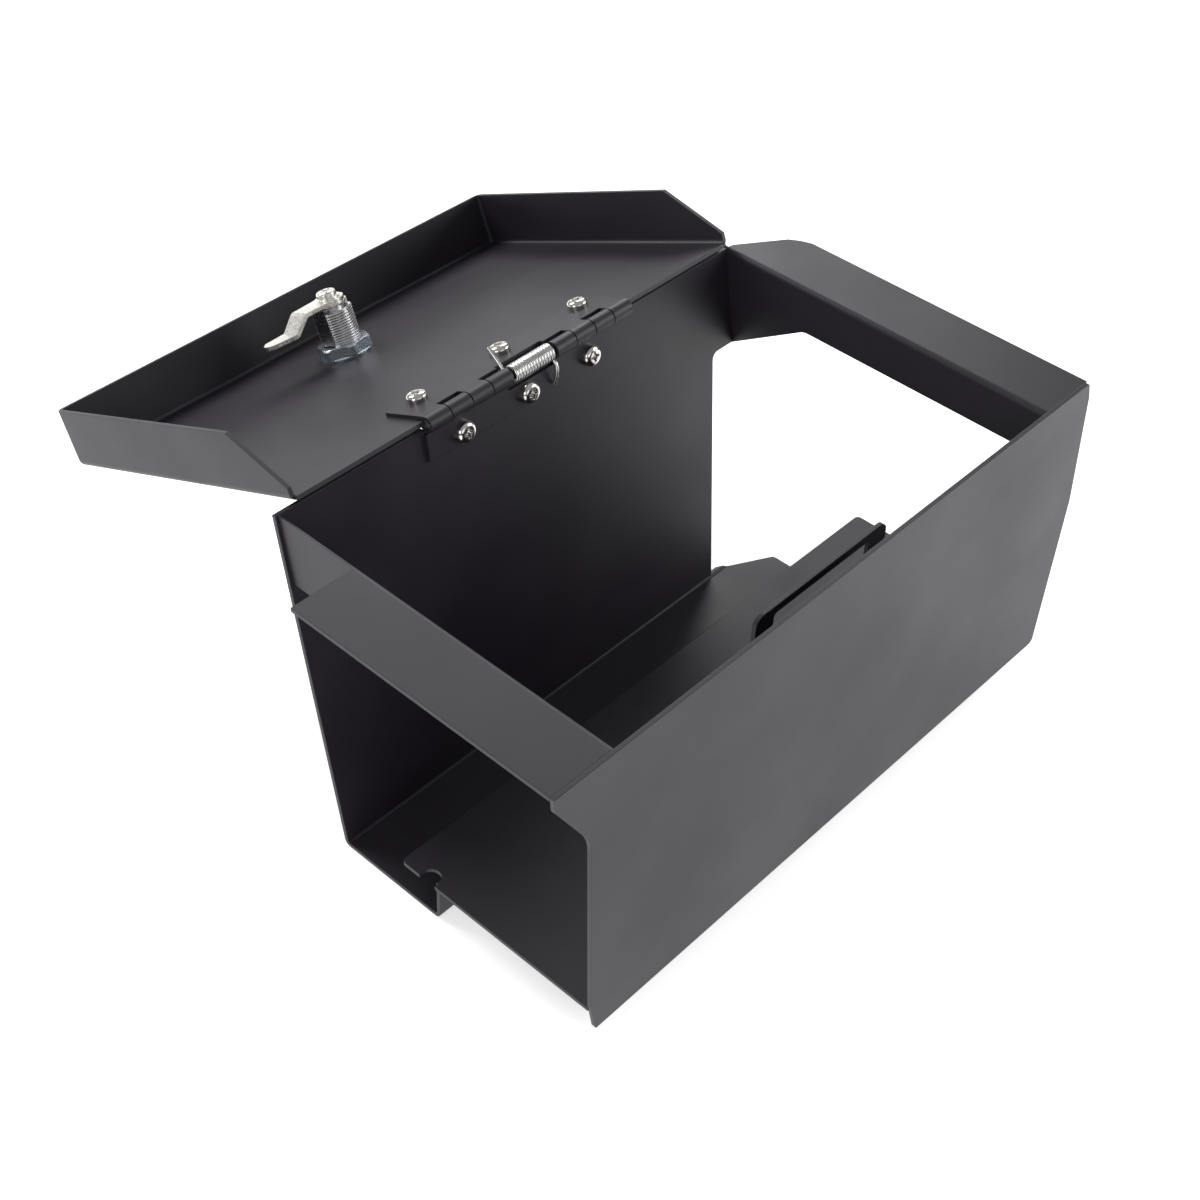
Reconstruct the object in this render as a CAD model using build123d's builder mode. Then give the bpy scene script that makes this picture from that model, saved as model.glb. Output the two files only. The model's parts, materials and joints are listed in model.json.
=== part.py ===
from build123d import *
import os
from math import cos, sin, tan, radians

# Console safe in folded sheet steel: an open-ended box with a leaning back wall,
# a two-level floor, turned-out end ledges and a flanged lid on a knuckle hinge.
# The lid is modelled swung right back, as it rests when open.
#
# Frame: +X to the right along the hinge, +Y from the front panel to the back
# wall, +Z up. The origin is on the underside of the lower floor, on the plane
# through the middle of the hinge and the lock.

os.makedirs("parts", exist_ok=True)

# ---------------------------------------------------------------- dimensions
SHEET = 2.0              # sheet thickness
RIM_Z = 173.0            # height of the top rim
LEAN = 10.6              # back wall lean from vertical, degrees
BEND_OUT = 3.5           # outside bend radius
BEND_IN = 1.5            # inside bend radius

FRONT_Y = -121.0         # outer face of the front panel
FLOOR_X0, FLOOR_X1 = -144.5, 141.5     # lower floor
RISER_Y = -30.2          # front face of the riser
STEP_Z = 22.7            # underside of the raised floor
RAISED_X0, RAISED_X1 = -147.2, 176.0
RAISED_Y1 = -9.7

AXIS_Y, AXIS_Z = 59.0, 175.95          # hinge axis
WALL_Q = -2.48           # wall inner face, measured inwards from the hinge axis
LID_OPEN = 204.6         # how far the lid is open in this pose, degrees

LID_X = 0.2              # middle of the lid
LID_HALF = 134.6         # half width of the lid
LID_LEN = 173.5          # hinge axis to the outer face of the front flange
LID_M0 = 0.2             # lid outer face above the hinge axis
LID_FLANGE = 28.4        # top of the lid flanges above the hinge axis

HINGE_HALF = 62.5        # half length of the hinge
KNUCKLE_R = 4.0
PIN_R = 2.1
BORE_LID_R = 2.15
BORE_WALL_R = 2.12
LEAF_T = 1.8
KNUCKLE_L = 11.75
KNUCKLE_PITCH = 12.3
SCREW_X_LID = (-49.0, 1.0, 51.0)
SCREW_X_WALL = (-42.4, -3.0, 36.4)
SCREW_S = 19.5           # lid screws, distance from the hinge axis
SCREW_D = 12.9           # wall screws, distance from the hinge axis
LEAF_LID = 26.0          # hinge axis to the end of each leaf
LEAF_WALL = 18.5

LOCK_S = 126.0           # lock axis, distance from the hinge axis
LOCK_X = -6.5            # lock axis, left of the middle
BARREL_R = 9.5
BARREL_FLAT = 8.0        # half of the barrel's size across its flats
BARREL_TOP = 27.2
PLUG_R = 6.45
PLUG_BORE_R = 6.5

# ---------------------------------------------------------------- frames
U = Vector(0, cos(radians(LID_OPEN - 180)), -sin(radians(LID_OPEN - 180)))
N = Vector(0, sin(radians(LID_OPEN - 180)), cos(radians(LID_OPEN - 180)))
AXIS = Vector(0, AXIS_Y, AXIS_Z)
IN = Vector(0, -cos(radians(LEAN)), sin(radians(LEAN)))     # out of the wall's inner face
UP = Vector(0, sin(radians(LEAN)), cos(radians(LEAN)))      # up along the wall

# local (x, s, m): along the hinge, away from it along the lid, off the lid's inside
LIDP = Plane(origin=AXIS, x_dir=(1, 0, 0), z_dir=N)
# local (s, m), normal +X
LIDSIDE = Plane(origin=AXIS, x_dir=U, z_dir=(1, 0, 0))
# local (x, -d, q): along the hinge, up the wall, off the wall's inside
WALLP = Plane(origin=AXIS, x_dir=(1, 0, 0), z_dir=IN)
LOCKO = AXIS + U * LOCK_S + Vector(LOCK_X, 0, 0)
LOCKP = Plane(origin=LOCKO, x_dir=(1, 0, 0), z_dir=N)


def y_in(z):
    """Y of the back wall's inner face at height z."""
    p = AXIS + IN * WALL_Q
    return p.Y + (z - p.Z) * tan(radians(LEAN))


def y_out(z):
    """Y of the back wall's outer face at height z."""
    return y_in(z) + SHEET / cos(radians(LEAN))


WALL_TOP_IN = (y_in(RIM_Z), RIM_Z)
WALL_TOP_OUT = (
    y_in(RIM_Z) + SHEET * cos(radians(LEAN)),
    RIM_Z - SHEET * sin(radians(LEAN)),
)


def at(plane, x, y, z):
    """A point given in a plane's own coordinates."""
    return plane.from_local_coords(Vector(x, y, z))


def near(sketch, x, y):
    """The vertex of a sketch nearest a point in the sketch's own coordinates."""
    return sketch.vertices().sort_by_distance((x, y, 0))[0]


# ---------------------------------------------------------------- rear shell
# one folded sheet: riser, lower floor and leaning back wall
shell_profile = [
    (RISER_Y, STEP_Z),
    (RISER_Y, 0),
    (y_out(0), 0),
    WALL_TOP_OUT,
    WALL_TOP_IN,
    (y_in(SHEET), SHEET),
    (RISER_Y + SHEET, SHEET),
    (RISER_Y + SHEET, STEP_Z),
]
with BuildPart() as rear_shell:
    with BuildSketch(Plane.YZ.offset(FLOOR_X0)) as sk:
        with BuildLine():
            Polyline(*shell_profile, close=True)
        make_face()
        fillet(near(sk, RISER_Y, 0), BEND_OUT)
        fillet(near(sk, y_out(0), 0), BEND_OUT)
        fillet(near(sk, RISER_Y + SHEET, SHEET), BEND_IN)
        fillet(near(sk, y_in(SHEET), SHEET), BEND_IN)
    extrude(amount=FLOOR_X1 - FLOOR_X0)
    # right edge of the wall: straight, then a rounded step, then sloping in
    with BuildSketch(Plane.XZ.offset(-80)) as sk:
        with BuildLine():
            Polyline(
                (135.5, 190), (200, 190), (200, 3), (106.5, 3), (120.5, 124), (135.5, 124),
                close=True,
            )
        make_face()
        fillet(near(sk, 120.5, 124), 4)
    extrude(amount=60, mode=Mode.SUBTRACT)
    # left edge leans out very slightly towards the bottom
    with BuildSketch(Plane.XZ.offset(-80)):
        with BuildLine():
            Polyline((-160, 190), (-142.74, 190), (-144.55, -5), (-160, -5), close=True)
        make_face()
    extrude(amount=140, mode=Mode.SUBTRACT)
    # cut corner of the lower floor
    with BuildSketch(Plane.XY.offset(-1)):
        with BuildLine():
            Polyline(
                (106.8, 60), (106.8, 34), (111, 32), (141, 16), (141.5, 14), (160, 14), (160, 60),
                close=True,
            )
        make_face()
    extrude(amount=4.0, mode=Mode.SUBTRACT)
    # cut-outs in the top edge for the hinge knuckles and the spring
    with BuildSketch(WALLP.offset(-8)):
        Rectangle(2 * 62.8, 2 * 4.2)
    extrude(amount=9, mode=Mode.SUBTRACT)
    # clearance holes for the hinge screws
    with BuildSketch(WALLP.offset(-8)):
        with Locations(*[(x, -SCREW_D) for x in SCREW_X_WALL]):
            Circle(2.75)
    extrude(amount=9, mode=Mode.SUBTRACT)
rear_shell.part.label = "rear_shell"
export_step(rear_shell.part, "parts/rear_shell.step")

# ---------------------------------------------------------------- front panel
with BuildPart() as front_panel:
    with BuildSketch(Plane.XZ.offset(-(FRONT_Y + SHEET))) as sk:
        with BuildLine():
            Polyline(
                (-173.1, RIM_Z), (-172.5, 166), (-152.5, 134), (-147.5, 27), (-144, 9.3),
                (176, 9.3), (178, 100), (170.8, 164), (167.8, RIM_Z),
                close=True,
            )
        make_face()
        fillet(near(sk, -172.5, 166), 6)
        fillet(near(sk, -152.5, 134), 25)
        fillet(near(sk, -144, 9.3), 1.5)
        fillet(near(sk, 176, 9.3), 3)
        fillet(near(sk, 178, 100), 40)
        fillet(near(sk, 170.8, 164), 6)
        fillet(near(sk, 167.8, RIM_Z), 1.5)
    extrude(amount=SHEET)
front_panel.part.label = "front_panel"
export_step(front_panel.part, "parts/front_panel.step")

# ---------------------------------------------------------------- raised floor
with BuildPart() as raised_floor:
    with BuildSketch(Plane.XY.offset(STEP_Z)) as sk:
        with BuildLine():
            Polyline(
                (RAISED_X0, FRONT_Y + SHEET), (RAISED_X1, FRONT_Y + SHEET),
                (RAISED_X1, RAISED_Y1), (RAISED_X0, RAISED_Y1),
                close=True,
            )
        make_face()
        fillet(sk.vertices().group_by(Axis.Y)[-1], 2.5)
    extrude(amount=SHEET)
    # relief notch in the left edge, beside the riser
    with BuildSketch(Plane.XY.offset(STEP_Z - 1)):
        with Locations((RAISED_X0, -25.45)):
            SlotOverall(13.8, 9.5)
    extrude(amount=SHEET + 2, mode=Mode.SUBTRACT)
raised_floor.part.label = "raised_floor"
export_step(raised_floor.part, "parts/raised_floor.step")

# ---------------------------------------------------------------- left end rail
with BuildPart() as left_end_rail:
    with BuildSketch(Plane.XZ.offset(-(FRONT_Y + SHEET))) as sk:
        with BuildLine():
            Polyline(
                (-173.1, RIM_Z), (-139.5, RIM_Z), (-139.5, 140), (-141.5, 140),
                (-141.5, RIM_Z - SHEET), (-173.1, RIM_Z - SHEET),
                close=True,
            )
        make_face()
        fillet(near(sk, -139.5, RIM_Z), 2.4)
        fillet(near(sk, -141.5, RIM_Z - SHEET), 0.8)
    extrude(amount=-200)
    # the ledge ends square, ahead of the back wall
    with BuildSketch(Plane.XY.offset(165)):
        with BuildLine():
            Polyline((-180, 16.5), (-141.5, 16.5), (-141.5, 90), (-180, 90), close=True)
        make_face()
    extrude(amount=12, mode=Mode.SUBTRACT)
    # the flange ends on the leaning wall
    with BuildSketch(Plane.YZ.offset(-180)):
        with BuildLine():
            Polyline((y_in(180), 180), (y_in(130), 130), (100, 130), (100, 180), close=True)
        make_face()
    extrude(amount=60, mode=Mode.SUBTRACT)
left_end_rail.part.label = "left_end_rail"
export_step(left_end_rail.part, "parts/left_end_rail.step")

# ---------------------------------------------------------------- right end rail
with BuildPart() as right_end_rail:
    with BuildSketch(Plane.XZ.offset(-(FRONT_Y + SHEET))) as sk:
        with BuildLine():
            Polyline(
                (135.5, RIM_Z), (168.5, RIM_Z), (168.5, RIM_Z - SHEET), (137.5, RIM_Z - SHEET),
                (137.5, 105), (135.5, 105),
                close=True,
            )
        make_face()
        fillet(near(sk, 135.5, RIM_Z), 2.4)
        fillet(near(sk, 137.5, RIM_Z - SHEET), 0.8)
    extrude(amount=-200)
    # plan shape of the ledge
    with BuildSketch(Plane.XY.offset(165)) as sk:
        with BuildLine():
            Polyline(
                (137.5, 90), (137.5, 61.3), (140.5, 60.6), (162.9, 45.5), (166.2, 40.7),
                (168.5, 35), (190, 35), (190, 90),
                close=True,
            )
        make_face()
        fillet(near(sk, 140.5, 60.6), 3)
    extrude(amount=12, mode=Mode.SUBTRACT)
    # flange: shallow at the front, running down diagonally to the back wall
    with BuildSketch(Plane.YZ.offset(130)) as sk:
        with BuildLine():
            Polyline(
                (-140, 150), (11, 150), (y_out(122.5), 122.5), (90, 105), (90, 80), (-140, 80),
                close=True,
            )
        make_face()
        fillet(near(sk, 11, 150), 8)
    extrude(amount=50, mode=Mode.SUBTRACT)
    with BuildSketch(Plane.YZ.offset(130)):
        with BuildLine():
            Polyline((y_out(180), 180), (y_out(90), 90), (110, 90), (110, 180), close=True)
        make_face()
    extrude(amount=50, mode=Mode.SUBTRACT)
right_end_rail.part.label = "right_end_rail"
export_step(right_end_rail.part, "parts/right_end_rail.step")

# ---------------------------------------------------------------- strike bracket
# folded bracket inside the front panel; the lock's cam turns into its window
with BuildPart() as strike_bracket:
    with BuildSketch(Plane.YZ.offset(-42.5)) as sk:
        with BuildLine():
            Polyline(
                (-119, 112), (-117, 112), (-117, 130), (-103.5, 130), (-103.5, 160.3),
                (-105.5, 160.3), (-105.5, 132), (-119, 132),
                close=True,
            )
        make_face()
        fillet(near(sk, -119, 132), 2.6)
        fillet(near(sk, -103.5, 130), 2.6)
        fillet(near(sk, -117, 130), 0.6)
        fillet(near(sk, -105.5, 132), 0.6)
    extrude(amount=85)
    fillet(
        strike_bracket.edges()
        .filter_by(Axis.Y)
        .filter_by(lambda e: e.center().Z > 160),
        5,
    )
    with BuildSketch(Plane.XZ.offset(108)) as sk:
        with Locations((0, 149.6)):
            RectangleRounded(62.4, 13.2, 2.0)
    extrude(amount=-6, mode=Mode.SUBTRACT)
strike_bracket.part.label = "strike_bracket"
export_step(strike_bracket.part, "parts/strike_bracket.step")

# ---------------------------------------------------------------- lid
with BuildPart() as lid_inner:
    with BuildSketch(LIDP.offset(LID_M0 + SHEET)):
        with BuildLine():
            Polyline(
                (LID_X - LID_HALF + SHEET, -20), (LID_X + LID_HALF - SHEET, -20),
                (LID_X + LID_HALF - SHEET, LID_LEN - SHEET), (LID_X - LID_HALF + SHEET, LID_LEN - SHEET),
                close=True,
            )
        make_face()
    extrude(amount=40)
    corner = [
        at(LIDP, LID_X + sx * (LID_HALF - SHEET), LID_LEN - SHEET, 20) for sx in (-1, 1)
    ]
    fillet([lid_inner.edges().sort_by_distance(c)[0] for c in corner], BEND_IN)
    fillet(
        [
            e
            for e in lid_inner.edges()
            if abs(LIDP.to_local_coords(e.center()).Z - (LID_M0 + SHEET)) < 0.01
            and LIDP.to_local_coords(e.center()).Y > -15
        ],
        BEND_IN,
    )

with BuildPart() as lid_panel:
    with BuildSketch(LIDP.offset(LID_M0)):
        with BuildLine():
            Polyline(
                (LID_X - LID_HALF, 0), (LID_X + LID_HALF, 0), (LID_X + LID_HALF, LID_LEN), (LID_X - LID_HALF, LID_LEN),
                close=True,
            )
        make_face()
    extrude(amount=LID_FLANGE - LID_M0)
    corner = [at(LIDP, LID_X + sx * LID_HALF, LID_LEN, 15) for sx in (-1, 1)]
    fillet([lid_panel.edges().sort_by_distance(c)[0] for c in corner], BEND_OUT)
    fillet(
        [
            e
            for e in lid_panel.edges()
            if abs(LIDP.to_local_coords(e.center()).Z - LID_M0) < 0.01
            and LIDP.to_local_coords(e.center()).Y > 1
        ],
        BEND_OUT,
    )
    add(lid_inner.part, mode=Mode.SUBTRACT)
    # rear ends of the side flanges, cut off at a slant
    with BuildSketch(LIDSIDE):
        with BuildLine():
            Polyline(
                (-3, LID_M0 + SHEET), (1.0, LID_M0 + SHEET), (1.0, 6.6), (32.4, LID_FLANGE),
                (32.4, 40), (-3, 40),
                close=True,
            )
        make_face()
    extrude(amount=150, both=True, mode=Mode.SUBTRACT)
    # bend reliefs at the rear corners, knuckle cut-out and spring cut-out
    with BuildSketch(LIDP.offset(-3)):
        with Locations((LID_X + LID_HALF, 0), (LID_X - LID_HALF, 0)):
            Rectangle(4.0, 2.0)
        with Locations((0, 0)):
            Rectangle(2 * 62.8, 2 * 4.7)
            Rectangle(2 * 14.5, 2 * 6.0)
    extrude(amount=5.2 + 0.0, mode=Mode.SUBTRACT)
    with BuildSketch(LIDP.offset(-3)):
        with Locations(*[(x, SCREW_S) for x in SCREW_X_LID]):
            Circle(2.75)
    extrude(amount=8, mode=Mode.SUBTRACT)
    # double-D hole for the lock barrel
    with BuildSketch(LOCKP.offset(-3)):
        Circle(BARREL_R + 0.15)
        Rectangle(2 * (BARREL_FLAT + 0.15), 30, mode=Mode.INTERSECT)
    extrude(amount=8, mode=Mode.SUBTRACT)
lid_panel.part.label = "lid_panel"
export_step(lid_panel.part, "parts/lid_panel.step")

# ---------------------------------------------------------------- hinge leaves
# knuckle spans along X, numbered from the left; the spring sits between 4 and 5
spans = []
for k in range(4):
    a = -HINGE_HALF + k * KNUCKLE_PITCH
    spans.append((a, a + KNUCKLE_L))
for k in range(4):
    b = HINGE_HALF - (3 - k) * KNUCKLE_PITCH
    spans.append((b - KNUCKLE_L, b))
LID_KNUCKLES = (0, 2, 5, 7)
WALL_KNUCKLES = (1, 3, 4, 6)


with BuildPart() as hinge_leaf_wall:
    with BuildSketch(WALLP.offset(WALL_Q)) as sk:
        with BuildLine():
            Polyline(
                (-HINGE_HALF, -LEAF_WALL), (HINGE_HALF, -LEAF_WALL), (HINGE_HALF, -5.2), (14.2, -5.2),
                (14.2, -7.5), (-14.2, -7.5), (-14.2, -5.2), (-HINGE_HALF, -5.2),
                close=True,
            )
        make_face()
        for i in WALL_KNUCKLES:
            a, b = spans[i]
            with Locations(((a + b) / 2, -3.0)):
                Rectangle(b - a, 6.0)
        with Locations(*[(x, -SCREW_D) for x in SCREW_X_WALL]):
            Circle(2.7, mode=Mode.SUBTRACT)
    extrude(amount=LEAF_T)
    for i in WALL_KNUCKLES:
        a, b = spans[i]
        with BuildSketch(Plane(origin=AXIS + Vector(a, 0, 0), x_dir=U, z_dir=(1, 0, 0))):
            Circle(KNUCKLE_R)
        extrude(amount=b - a)
    with BuildSketch(Plane(origin=AXIS + Vector(-70, 0, 0), x_dir=U, z_dir=(1, 0, 0))):
        Circle(BORE_WALL_R)
    extrude(amount=140, mode=Mode.SUBTRACT)
hinge_leaf_wall.part.label = "hinge_leaf_wall"
export_step(hinge_leaf_wall.part, "parts/hinge_leaf_wall.step")

with BuildPart() as hinge_leaf_lid:
    with BuildSketch(LIDP.offset(LID_M0 + SHEET)) as sk:
        with BuildLine():
            Polyline(
                (-HINGE_HALF, LEAF_LID), (HINGE_HALF, LEAF_LID), (HINGE_HALF, 5.2), (14.2, 5.2),
                (14.2, 7.5), (-14.2, 7.5), (-14.2, 5.2), (-HINGE_HALF, 5.2),
                close=True,
            )
        make_face()
        for i in LID_KNUCKLES:
            a, b = spans[i]
            with Locations(((a + b) / 2, 3.0)):
                Rectangle(b - a, 6.0)
        with Locations(*[(x, SCREW_S) for x in SCREW_X_LID]):
            Circle(2.7, mode=Mode.SUBTRACT)
    extrude(amount=LEAF_T)
    for i in LID_KNUCKLES:
        a, b = spans[i]
        with BuildSketch(Plane(origin=AXIS + Vector(a, 0, 0), x_dir=U, z_dir=(1, 0, 0))):
            Circle(KNUCKLE_R)
        extrude(amount=b - a)
    with BuildSketch(Plane(origin=AXIS + Vector(-70, 0, 0), x_dir=U, z_dir=(1, 0, 0))):
        Circle(BORE_LID_R)
    extrude(amount=140, mode=Mode.SUBTRACT)
hinge_leaf_lid.part.label = "hinge_leaf_lid"
export_step(hinge_leaf_lid.part, "parts/hinge_leaf_lid.step")

# ---------------------------------------------------------------- hinge pin
with BuildPart() as hinge_pin:
    with BuildSketch(Plane(origin=AXIS + Vector(-HINGE_HALF, 0, 0), x_dir=U, z_dir=(1, 0, 0))):
        Circle(PIN_R)
    extrude(amount=2 * HINGE_HALF)
    chamfer(hinge_pin.edges().filter_by(GeomType.CIRCLE), 0.4)
hinge_pin.part.label = "hinge_pin"
export_step(hinge_pin.part, "parts/hinge_pin.step")


# ---------------------------------------------------------------- hinge screws and nuts
def head_height():
    return 3.8


def screw_group(plane, places, seat, tip):
    """Pan-head screws with a cross recess; seat and tip are heights in the plane."""
    with BuildPart() as one:
        with BuildSketch(plane.offset(seat)):
            with Locations(*places):
                Circle(5.0)
        extrude(amount=head_height())
        fillet(
            [
                e
                for e in one.edges().filter_by(GeomType.CIRCLE)
                if abs(plane.to_local_coords(e.center()).Z - (seat + head_height())) < 0.01
            ],
            2.2,
        )
        with BuildSketch(plane.offset(tip)):
            with Locations(*places):
                Circle(2.5)
        extrude(amount=seat - tip)
        with BuildSketch(plane.offset(seat + head_height())):
            with Locations(*places):
                Rectangle(5.2, 1.3)
                Rectangle(1.3, 5.2)
                Circle(1.6)
        extrude(amount=-2.3, taper=8, mode=Mode.SUBTRACT)
    return one


def nut_group(plane, places, face):
    """Round clinch nuts on the far side of the sheet; face is the sheet's outer face."""
    with BuildPart() as one:
        with BuildSketch(plane.offset(face - 2.6)):
            with Locations(*places):
                Circle(4.7)
        extrude(amount=2.6)
        chamfer(
            [
                e
                for e in one.edges().filter_by(GeomType.CIRCLE)
                if abs(plane.to_local_coords(e.center()).Z - (face - 2.6)) < 0.01
            ],
            0.5,
        )
        with BuildSketch(plane.offset(face - 3)):
            with Locations(*places):
                Circle(2.55)
        extrude(amount=4, mode=Mode.SUBTRACT)
    return one


places_lid = [(x, SCREW_S) for x in SCREW_X_LID]
places_wall = [(x, -SCREW_D) for x in SCREW_X_WALL]
lid_hinge_screws = screw_group(LIDP, places_lid, LID_M0 + SHEET + LEAF_T, LID_M0 - 2.9)
lid_hinge_screws.part.label = "lid_hinge_screws"
export_step(lid_hinge_screws.part, "parts/lid_hinge_screws.step")
wall_hinge_screws = screw_group(WALLP, places_wall, WALL_Q + LEAF_T, WALL_Q - SHEET - 2.9)
wall_hinge_screws.part.label = "wall_hinge_screws"
export_step(wall_hinge_screws.part, "parts/wall_hinge_screws.step")
lid_hinge_nuts = nut_group(LIDP, places_lid, LID_M0)
lid_hinge_nuts.part.label = "lid_hinge_nuts"
export_step(lid_hinge_nuts.part, "parts/lid_hinge_nuts.step")
wall_hinge_nuts = nut_group(WALLP, places_wall, WALL_Q - SHEET)
wall_hinge_nuts.part.label = "wall_hinge_nuts"
export_step(wall_hinge_nuts.part, "parts/wall_hinge_nuts.step")

# ---------------------------------------------------------------- torsion spring
WIRE_R = 0.8
COIL_R = 3.5
COIL_HALF = 12.2         # half length of the coil's centre line
COIL_TURNS = 14 + 75.6 / 360
coil_plane = Plane(origin=AXIS + Vector(-COIL_HALF, 0, 0), x_dir=U, z_dir=(1, 0, 0))


def wall_pt(x, q, d):
    return at(WALLP, x, -d, q)


# the coil's centre line is made on its own axis and then laid along the hinge axis
coil_line = coil_plane.location * Helix(
    pitch=2 * COIL_HALF / COIL_TURNS, height=2 * COIL_HALF, radius=COIL_R, lefthand=True
)
with BuildPart() as torsion_spring:
    with BuildSketch(Plane(origin=coil_line @ 0, z_dir=coil_line % 0)):
        Circle(WIRE_R)
    sweep(path=coil_line, is_frenet=True)
    # leg lying over the lid
    with BuildLine() as leg_lid:
        Spline(
            coil_line @ 0,
            at(LIDP, -COIL_HALF, 4.6, 3.5),
            at(LIDP, -COIL_HALF, 6.6, 7.4),
            at(LIDP, -COIL_HALF, 9.6, 12.6),
            tangents=(-(coil_line % 0), U * 0.5 + N * 0.9),
        )
    with BuildSketch(Plane(origin=leg_lid.line @ 0, z_dir=leg_lid.line % 0)):
        Circle(WIRE_R)
    sweep(path=leg_lid.line)
    # leg lying down the wall leaf
    with BuildLine() as leg_wall:
        Spline(
            coil_line @ 1,
            wall_pt(COIL_HALF + 0.3, 2.2, 4.6),
            wall_pt(COIL_HALF + 0.3, 3.1, 7.6),
            wall_pt(COIL_HALF + 0.3, 2.0, 12.0),
            wall_pt(COIL_HALF + 0.3, 0.2, 16.0),
            tangents=(coil_line % 1, UP * -0.9 - IN * 0.4),
        )
    with BuildSketch(Plane(origin=leg_wall.line @ 0, z_dir=leg_wall.line % 0)):
        Circle(WIRE_R)
    sweep(path=leg_wall.line)
torsion_spring.part.label = "torsion_spring"
export_step(torsion_spring.part, "parts/torsion_spring.step")

# ---------------------------------------------------------------- lock body
with BuildPart() as lock_body:
    with BuildSketch(LOCKP.offset(-2.0)):
        Circle(11.75)
    extrude(amount=2.2)
    fillet(
        [
            e
            for e in lock_body.edges().filter_by(GeomType.CIRCLE)
            if abs(LOCKP.to_local_coords(e.center()).Z + 2.0) < 0.01
        ],
        0.9,
    )
    with BuildSketch(LOCKP.offset(LID_M0)):
        Circle(BARREL_R)
        Rectangle(2 * BARREL_FLAT, 30, mode=Mode.INTERSECT)
    extrude(amount=BARREL_TOP - LID_M0)
    with BuildSketch(LOCKP.offset(-3)):
        Circle(PLUG_BORE_R)
    extrude(amount=40, mode=Mode.SUBTRACT)
    with BuildSketch(LOCKP.offset(-2.0)):
        Circle(8.05)
    extrude(amount=1.5, mode=Mode.SUBTRACT)
    # part of the rear rim is cut down, so a tab on the stop washer can swing through a right angle
    with BuildSketch(LOCKP.offset(25.2)):
        with BuildLine():
            Polyline(
                (0, 0),
                (20 * cos(radians(-8)), 20 * sin(radians(-8))),
                (34 * cos(radians(-68)), 34 * sin(radians(-68))),
                (20 * cos(radians(-128)), 20 * sin(radians(-128))),
                close=True,
            )
        make_face()
    extrude(amount=5, mode=Mode.SUBTRACT)
lock_body.part.label = "lock_body"
export_step(lock_body.part, "parts/lock_body.step")

# ---------------------------------------------------------------- lock washer and nut
with BuildPart() as lock_washer:
    with BuildSketch(LOCKP.offset(LID_M0 + SHEET)):
        Circle(13.0)
        Circle(BARREL_R + 0.15, mode=Mode.SUBTRACT)
    extrude(amount=1.0)
lock_washer.part.label = "lock_washer"
export_step(lock_washer.part, "parts/lock_washer.step")

NUT_Z0 = LID_M0 + SHEET + 1.0
NUT_H = 5.5
with BuildPart() as nut_cone:
    with BuildSketch(LOCKP.offset(NUT_Z0)):
        Circle(13.2)
    extrude(amount=NUT_H)
    chamfer(
        [
            e
            for e in nut_cone.edges().filter_by(GeomType.CIRCLE)
            if abs(LOCKP.to_local_coords(e.center()).Z - (NUT_Z0 + NUT_H)) < 0.01
        ],
        0.9,
    )
with BuildPart() as lock_nut:
    with BuildSketch(LOCKP.offset(NUT_Z0)):
        RegularPolygon(radius=12.0, side_count=6, major_radius=False, rotation=12)
    extrude(amount=NUT_H)
    add(nut_cone.part, mode=Mode.INTERSECT)
    with BuildSketch(LOCKP.offset(NUT_Z0 - 1)):
        Circle(BARREL_R + 0.1)
    extrude(amount=NUT_H + 2, mode=Mode.SUBTRACT)
lock_nut.part.label = "lock_nut"
export_step(lock_nut.part, "parts/lock_nut.step")

# ---------------------------------------------------------------- lock plug
PLUG_TOP = 27.5
WAFER_M = (3.0, 5.6, 8.2, 10.8, 13.4)
with BuildPart() as lock_plug:
    with BuildSketch(LOCKP.offset(-2.0)):
        Circle(8.0)
    extrude(amount=1.45)
    with BuildSketch(LOCKP.offset(-0.55)):
        Circle(PLUG_R)
    extrude(amount=PLUG_TOP + 0.55)
    with BuildSketch(LOCKP.offset(PLUG_TOP)):
        Rectangle(7.0, 7.0)
    extrude(amount=2.6)
    # keyway
    with BuildSketch(LOCKP.offset(-3.0)):
        Rectangle(1.1, 8.0)
    extrude(amount=24.0, mode=Mode.SUBTRACT)
    # wafer slots
    for m in WAFER_M:
        with BuildSketch(LOCKP.offset(m - 0.55)):
            Rectangle(5.2, 20.0)
        extrude(amount=1.1, mode=Mode.SUBTRACT)
    # tapped hole in the tail
    with BuildSketch(LOCKP.offset(22.5)):
        Circle(2.55)
    extrude(amount=10, mode=Mode.SUBTRACT)
lock_plug.part.label = "lock_plug"
export_step(lock_plug.part, "parts/lock_plug.step")

with BuildPart() as lock_wafers:
    for k, m in enumerate(WAFER_M):
        with BuildSketch(LOCKP.offset(m - 0.45)):
            Rectangle(5.0, 11.4)
            with Locations((0, 0.25 * (k - 2))):
                Rectangle(2.4, 8.8, mode=Mode.SUBTRACT)
        extrude(amount=0.9)
lock_wafers.part.label = "lock_wafers"
export_step(lock_wafers.part, "parts/lock_wafers.step")

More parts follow.
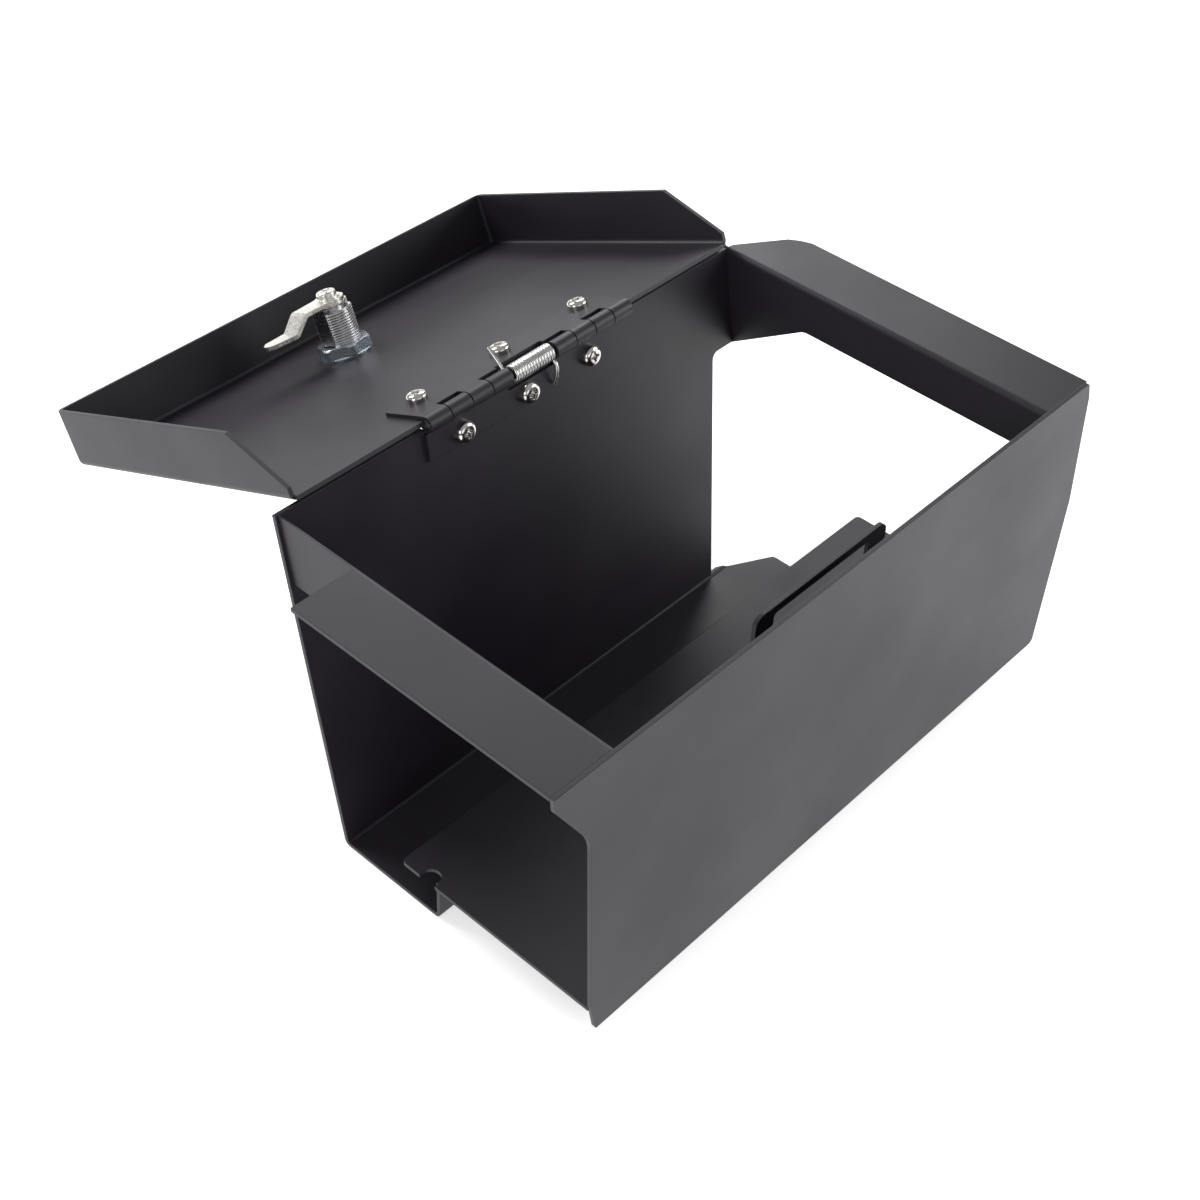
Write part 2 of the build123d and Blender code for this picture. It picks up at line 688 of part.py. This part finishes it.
# ---------------------------------------------------------------- stop washer
TAB = -20.0              # direction of the stop tab at rest, degrees
with BuildPart() as stop_washer:
    with BuildSketch(LOCKP.offset(PLUG_TOP)):
        Circle(7.9)
        Rectangle(7.1, 7.1, mode=Mode.SUBTRACT)
    extrude(amount=0.7)
    tabp = Plane(
        origin=LOCKO + N * 25.6,
        x_dir=Vector(1, 0, 0) * cos(radians(TAB)) + U * sin(radians(TAB)),
        z_dir=N,
    )
    with BuildSketch(tabp):
        with Locations((7.8, 0)):
            Rectangle(1.2, 3.0)
    extrude(amount=PLUG_TOP + 0.7 - 25.6)
    with BuildSketch(tabp.offset(PLUG_TOP - 25.6)):
        with Locations((7.2, 0)):
            Rectangle(2.4, 3.0)
    extrude(amount=0.7)
stop_washer.part.label = "stop_washer"
export_step(stop_washer.part, "parts/stop_washer.step")

# ---------------------------------------------------------------- cam
CAM_TOP = PLUG_TOP + 0.7 + 2.0         # 30.2
CAM_DROP = 7.0
cam_side = Plane(origin=LOCKO, x_dir=(1, 0, 0), z_dir=U * -1)
with BuildPart() as cam:
    with BuildSketch(cam_side) as sk:
        with BuildLine():
            Polyline(
                (9, CAM_TOP), (-18.2, CAM_TOP), (-26.0, CAM_TOP - CAM_DROP), (-41, CAM_TOP - CAM_DROP),
                (-41, CAM_TOP - CAM_DROP - 2), (-25.19, CAM_TOP - CAM_DROP - 2),
                (-17.39, CAM_TOP - 2), (9, CAM_TOP - 2),
                close=True,
            )
        make_face()
        fillet(near(sk, -18.2, CAM_TOP), 3)
        fillet(near(sk, -25.19, CAM_TOP - CAM_DROP - 2), 3)
        fillet(near(sk, -17.39, CAM_TOP - 2), 1)
        fillet(near(sk, -26.0, CAM_TOP - CAM_DROP), 1)
    extrude(amount=12, both=True)
    with BuildSketch(LOCKP.offset(18)) as sk:
        Circle(7.6)
        with BuildLine():
            Polyline(
                (0, -7.2), (-14, -5.8), (-26, -5.4), (-38, -3.6), (-41, -1.6),
                (-41, 1.6), (-38, 4.4), (-26, 5.4), (-14, 5.8), (0, 7.2),
                close=True,
            )
        make_face()
    extrude(amount=20, mode=Mode.INTERSECT)
    with BuildSketch(LOCKP.offset(26)):
        Rectangle(7.1, 7.1)
    extrude(amount=8, mode=Mode.SUBTRACT)
cam.part.label = "cam"
export_step(cam.part, "parts/cam.step")

# ---------------------------------------------------------------- cam washer and screw
with BuildPart() as cam_washer:
    with BuildSketch(LOCKP.offset(CAM_TOP)):
        Circle(6.0)
        Circle(2.8, mode=Mode.SUBTRACT)
    extrude(amount=0.9)
cam_washer.part.label = "cam_washer"
export_step(cam_washer.part, "parts/cam_washer.step")

SCREW_SEAT = CAM_TOP + 0.9
with BuildPart() as cam_screw:
    with BuildSketch(LOCKP.offset(SCREW_SEAT)):
        Circle(4.8)
    extrude(amount=3.0)
    fillet(
        [
            e
            for e in cam_screw.edges().filter_by(GeomType.CIRCLE)
            if abs(LOCKP.to_local_coords(e.center()).Z - (SCREW_SEAT + 3.0)) < 0.01
        ],
        1.5,
    )
    with BuildSketch(LOCKP.offset(24)):
        Circle(2.5)
    extrude(amount=SCREW_SEAT - 24)
    with BuildSketch(LOCKP.offset(SCREW_SEAT + 3.0)):
        Rectangle(5.4, 1.2)
        Rectangle(1.2, 5.4)
    extrude(amount=-1.8, taper=8, mode=Mode.SUBTRACT)
cam_screw.part.label = "cam_screw"
export_step(cam_screw.part, "parts/cam_screw.step")
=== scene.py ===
import bpy, json, math
from mathutils import Matrix, Vector


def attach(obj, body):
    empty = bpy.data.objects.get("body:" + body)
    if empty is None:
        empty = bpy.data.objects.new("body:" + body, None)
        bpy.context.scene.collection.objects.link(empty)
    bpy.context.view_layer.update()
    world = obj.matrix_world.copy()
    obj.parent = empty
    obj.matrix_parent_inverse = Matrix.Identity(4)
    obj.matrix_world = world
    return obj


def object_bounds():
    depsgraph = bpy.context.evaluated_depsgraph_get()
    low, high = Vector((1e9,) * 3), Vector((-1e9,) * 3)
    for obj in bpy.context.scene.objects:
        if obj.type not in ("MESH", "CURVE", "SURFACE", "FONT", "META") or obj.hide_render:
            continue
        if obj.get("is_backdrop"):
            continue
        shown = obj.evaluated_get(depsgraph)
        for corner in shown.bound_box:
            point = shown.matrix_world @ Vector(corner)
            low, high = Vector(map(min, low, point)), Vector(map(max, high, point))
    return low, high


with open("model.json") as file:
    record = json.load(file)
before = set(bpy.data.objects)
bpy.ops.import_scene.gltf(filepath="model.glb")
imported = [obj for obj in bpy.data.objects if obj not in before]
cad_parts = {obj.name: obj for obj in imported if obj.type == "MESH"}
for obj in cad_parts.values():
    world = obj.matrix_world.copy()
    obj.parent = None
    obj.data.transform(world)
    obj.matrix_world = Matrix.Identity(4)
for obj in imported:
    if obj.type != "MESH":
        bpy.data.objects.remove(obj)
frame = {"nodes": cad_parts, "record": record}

start_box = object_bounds()
scene = bpy.context.scene
nodes = frame["nodes"]

# ------------------------------------------------------------------ materials


def new_mat(name):
    m = bpy.data.materials.new(name)
    m.use_nodes = True
    nt = m.node_tree
    nt.nodes.clear()
    out = nt.nodes.new("ShaderNodeOutputMaterial")
    bsdf = nt.nodes.new("ShaderNodeBsdfPrincipled")
    nt.links.new(bsdf.outputs[0], out.inputs[0])
    return m, nt, bsdf


def noise(nt, scale, detail=3.0, rough=0.5, stretch=None):
    tc = nt.nodes.new("ShaderNodeTexCoord")
    n = nt.nodes.new("ShaderNodeTexNoise")
    n.inputs["Scale"].default_value = scale
    n.inputs["Detail"].default_value = detail
    n.inputs["Roughness"].default_value = rough
    if stretch:
        mp = nt.nodes.new("ShaderNodeMapping")
        mp.inputs["Scale"].default_value = stretch
        nt.links.new(tc.outputs["Object"], mp.inputs["Vector"])
        nt.links.new(mp.outputs[0], n.inputs["Vector"])
    else:
        nt.links.new(tc.outputs["Object"], n.inputs["Vector"])
    return n.outputs["Fac"]


def ramp(nt, fac, a, b, lo=0.3, hi=0.7):
    r = nt.nodes.new("ShaderNodeValToRGB")
    r.color_ramp.elements[0].position = lo
    r.color_ramp.elements[1].position = hi
    r.color_ramp.elements[0].color = (*a, 1)
    r.color_ramp.elements[1].color = (*b, 1)
    nt.links.new(fac, r.inputs["Fac"])
    return r.outputs["Color"]


def remap(nt, fac, lo, hi):
    m = nt.nodes.new("ShaderNodeMapRange")
    m.inputs["From Min"].default_value = 0.3
    m.inputs["From Max"].default_value = 0.7
    m.inputs["To Min"].default_value = lo
    m.inputs["To Max"].default_value = hi
    nt.links.new(fac, m.inputs["Value"])
    return m.outputs["Result"]


def bump(nt, bsdf, layers, bevel=None):
    last = None
    if bevel:
        bv = nt.nodes.new("ShaderNodeBevel")
        bv.samples = 6
        bv.inputs["Radius"].default_value = bevel
        last = bv.outputs["Normal"]
    for fac, strength, dist in layers:
        b = nt.nodes.new("ShaderNodeBump")
        b.inputs["Strength"].default_value = strength
        b.inputs["Distance"].default_value = dist
        nt.links.new(fac, b.inputs["Height"])
        if last is not None:
            nt.links.new(last, b.inputs["Normal"])
        last = b.outputs["Normal"]
    nt.links.new(last, bsdf.inputs["Normal"])


def powder(name, dark, light, rlo, rhi, spec):
    m, nt, b = new_mat(name)
    patch = noise(nt, 14, 4, 0.6)
    grain = noise(nt, 2600, 2, 0.5)
    peel = noise(nt, 420, 2, 0.5)
    nt.links.new(ramp(nt, patch, dark, light, 0.25, 0.75), b.inputs["Base Color"])
    nt.links.new(remap(nt, patch, rlo, rhi), b.inputs["Roughness"])
    b.inputs["Specular IOR Level"].default_value = spec
    bump(nt, b, [(peel, 0.10, 0.00012), (grain, 0.22, 0.00006)], bevel=0.00045)
    return m


def metal(name, dark, light, rlo, rhi, scale=900, stretch=None, bstr=0.15, bdist=0.00003, bevel=0.0002):
    m, nt, b = new_mat(name)
    n = noise(nt, scale, 3, 0.6, stretch)
    patch = noise(nt, 90, 3, 0.6)
    nt.links.new(ramp(nt, patch, dark, light, 0.3, 0.7), b.inputs["Base Color"])
    nt.links.new(remap(nt, n, rlo, rhi), b.inputs["Roughness"])
    b.inputs["Metallic"].default_value = 1.0
    bump(nt, b, [(n, bstr, bdist)], bevel=bevel)
    return m


MAT = {
    "powder_coat": powder("powder_coat", (0.0130, 0.0102, 0.0168), (0.0165, 0.0134, 0.0205), 0.42, 0.52, 0.52),
    "pin_steel": metal("pin_steel", (0.10, 0.10, 0.105), (0.16, 0.16, 0.165), 0.35, 0.5),
    "bright_screw": metal("bright_screw", (0.66, 0.64, 0.61), (0.84, 0.82, 0.79), 0.10, 0.20),
    "zinc": metal("zinc", (0.56, 0.64, 0.72), (0.74, 0.80, 0.86), 0.16, 0.32),
    "spring_steel": metal("spring_steel", (0.62, 0.63, 0.62), (0.80, 0.80, 0.78), 0.18, 0.3),
    "lock_chrome": metal("lock_chrome", (0.58, 0.57, 0.58), (0.74, 0.73, 0.74), 0.16, 0.30),
    "brass": metal("brass", (0.62, 0.44, 0.16), (0.74, 0.55, 0.25), 0.25, 0.4),
    "cam_zinc": metal("cam_zinc", (0.70, 0.68, 0.62), (0.86, 0.85, 0.80), 0.22, 0.4),
}
slot_of = {s["node"]: s["material_slot"] for s in frame["record"]["subparts"]}
for name, o in nodes.items():
    mat = MAT[slot_of[name]]
    if not o.material_slots:
        continue
    for s in o.material_slots:
        s.material = mat

# ------------------------------------------------------------------ barrel thread
A25 = math.radians(24.6)
U = Vector((0, math.cos(A25), -math.sin(A25)))
N = Vector((0, math.sin(A25), math.cos(A25)))
LOCK = Vector((-0.0065, 0.059, 0.17595)) + U * 0.126


def lock_pt(r, t, m):
    return LOCK + Vector((r * math.cos(t), 0, 0)) + U * (r * math.sin(t)) + N * m


def thread_arc(name, t0, t1, m0, m1, pitch=0.00125):
    """Closed shell of thread ridges on one curved side of the barrel, between its flats."""
    nt, per = 56, 6
    nm = int((m1 - m0) / pitch * per)
    verts, faces = [], []
    for layer in range(2):
        for i in range(nt + 1):
            t = t0 + (t1 - t0) * i / nt
            for j in range(nm + 1):
                m = m0 + (m1 - m0) * j / nm
                if layer == 0:
                    p = (m / pitch - t / (2 * math.pi)) % 1.0
                    h = 1 - abs(2 * p - 1)
                    edge = min(1.0, j / 3, (nm - j) / 3)
                    r = 0.00946 + 0.00034 * min(1.0, h * 1.25) * edge
                    r = min(r, 0.00799 / max(1e-6, abs(math.cos(t))))
                else:
                    r = 0.0090
                verts.append(lock_pt(r, t, m))
    w = nm + 1
    off = (nt + 1) * w

    def q(a, b, c, d):
        faces.append((a, b, c, d))

    for i in range(nt):
        for j in range(nm):
            a = i * w + j
            q(a, a + w, a + w + 1, a + 1)
            q(off + a, off + a + 1, off + a + w + 1, off + a + w)
    for i in range(nt):
        a = i * w
        q(a, off + a, off + a + w, a + w)
        b = i * w + nm
        q(b, b + w, off + b + w, off + b)
    for j in range(nm):
        q(j, j + 1, off + j + 1, off + j)
        c = nt * w + j
        q(c, off + c, off + c + 1, c + 1)
    me = bpy.data.meshes.new(name)
    me.from_pydata(verts, [], faces)
    me.validate()
    me.update()
    o = bpy.data.objects.new(name, me)
    scene.collection.objects.link(o)
    for p in me.polygons:
        p.use_smooth = False
    me.materials.append(MAT["lock_chrome"])
    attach(o, "lid")
    return o


d = math.radians
thread_arc("barrel_thread_back", d(34.5), d(145.5), 0.0088, 0.0268)
thread_arc("barrel_thread_front", d(214.5), d(325.5), 0.0088, 0.0250)

# ------------------------------------------------------------------ floor and light
bpy.ops.mesh.primitive_plane_add(size=12, location=(0, 0, -0.0002))
floor = bpy.context.object
floor.name = "studio_floor"
m, nt, b = new_mat("studio_floor")
nt.links.new(ramp(nt, noise(nt, 3, 3), (0.93, 0.93, 0.93), (0.95, 0.95, 0.95)), b.inputs["Base Color"])
b.inputs["Roughness"].default_value = 0.75
b.inputs["Specular IOR Level"].default_value = 0.2
b.inputs["Emission Color"].default_value = (1, 1, 1, 1)
b.inputs["Emission Strength"].default_value = 0.6
floor.data.materials.append(m)
floor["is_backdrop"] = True

world = bpy.data.worlds.new("studio")
scene.world = world
world.use_nodes = True
bg = world.node_tree.nodes["Background"]
bg.inputs["Color"].default_value = (1.0, 1.0, 1.0, 1)
bg.inputs["Strength"].default_value = 0.34


def area(name, loc, target, size, power, color=(1, 1, 1), size_y=None):
    d = bpy.data.lights.new(name, "AREA")
    d.energy = power
    d.color = color
    d.shape = "RECTANGLE"
    d.size = size
    d.size_y = size_y or size
    o = bpy.data.objects.new(name, d)
    scene.collection.objects.link(o)
    o.location = loc
    o.rotation_euler = (Vector(target) - Vector(loc)).to_track_quat("-Z", "Y").to_euler()
    return o


area("back_light", (1.2, 1.15, 1.08), (0.02, 0.08, 0.12), 0.95, 14)
area("lid_light", (-0.3, 1.45, 1.15), (0, 0.12, 0.17), 0.7, 17)
area("left_light", (-1.5, -0.2, 0.55), (0.15, 0.0, 0.13), 0.7, 4)
area("right_light", (1.4, -1.1, 0.7), (0, -0.1, 0.1), 1.0, 15)
area("front_light", (-0.4, -1.7, 0.4), (0, -0.1, 0.08), 1.2, 4.5)

# ------------------------------------------------------------------ camera
R = ((0.6777749, -0.7343670, 0.0364177), (-0.4817474, -0.4809496, -0.7325346), (0.5554643, 0.4789494, -0.6797550))
C = Vector((-0.50276, -0.42226, 0.68193))
cd = bpy.data.cameras.new("cam")
cd.lens = 58.84
cd.sensor_width = 36.0
cd.sensor_fit = "HORIZONTAL"
cd.shift_x = -0.00145
cd.clip_start = 0.01
cam = bpy.data.objects.new("cam", cd)
scene.collection.objects.link(cam)
right, down, fwd = (Vector(r) for r in R)
rot = Matrix((right, -down, -fwd)).transposed()
cam.matrix_world = Matrix.Translation(C) @ rot.to_4x4()
scene.camera = cam
scene.view_settings.view_transform = "Standard"
scene.view_settings.look = "None"

end_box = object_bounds()


def plain(v):
    try:
        return [plain(x) for x in v]
    except TypeError:
        return float(v)


{"cad": plain(start_box), "visual": plain(end_box)}
